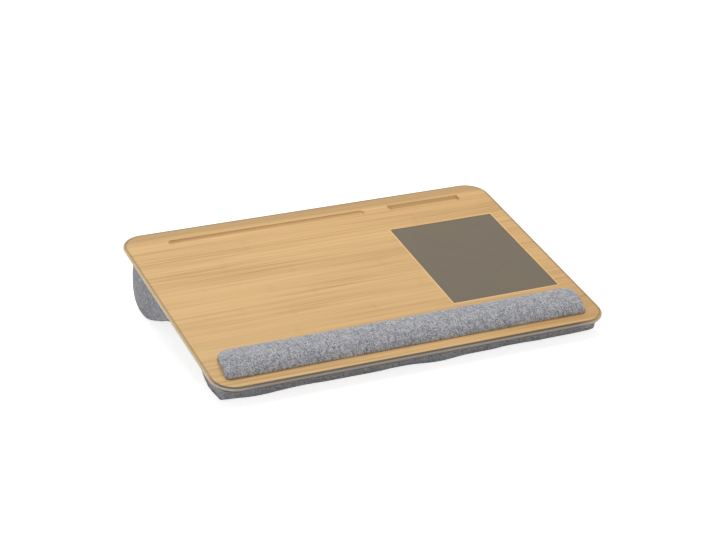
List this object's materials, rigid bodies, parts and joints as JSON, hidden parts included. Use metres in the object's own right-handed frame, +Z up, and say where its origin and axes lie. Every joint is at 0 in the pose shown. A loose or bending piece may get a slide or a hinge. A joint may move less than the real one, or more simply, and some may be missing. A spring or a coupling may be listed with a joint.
{
  "type": "lap tray",
  "caption": "Sloped bamboo lap tray with an inlaid mouse pad, pen groove, phone slot and padded wrist rest on a fabric double bolster cushion.",
  "frame": {"origin": "on the surface that the tray stands on, under the middle of its outer box", "axes": "+X to the user's right along the board, +Y away from the user, +Z up"},
  "size_m": [0.52, 0.354, 0.0886],
  "materials": {
    "edge_bamboo": "satin lacquer",
    "face_bamboo": "satin lacquer",
    "core_bamboo": "satin lacquer",
    "glue": "matte",
    "pad_leather": "matte grained",
    "base_board": "raw",
    "foam": "soft",
    "rest_fabric": "heather weave",
    "tape": "looped pile",
    "cushion_fabric": "heather weave"
  },
  "bodies": {
    "root": {"edge_band": "edge_bamboo", "face_ply": "face_bamboo", "core_ply": "core_bamboo", "back_ply": "core_bamboo", "mouse_pad_glue": "glue", "mouse_pad": "pad_leather", "wrist_rest_base": "base_board", "wrist_rest_foam": "foam", "wrist_rest_cover": "rest_fabric", "hook_tapes": "tape", "loop_tapes": "tape", "cushion_top_panel": "cushion_fabric", "channel_web": "cushion_fabric", "front_bolster_fill": "foam", "front_bolster_cover": "cushion_fabric", "rear_bolster_fill": "foam", "rear_bolster_cover": "cushion_fabric", "front_bolster_left_end": "cushion_fabric", "front_bolster_right_end": "cushion_fabric", "rear_bolster_left_end": "cushion_fabric", "rear_bolster_right_end": "cushion_fabric"}
  },
  "joints": []
}
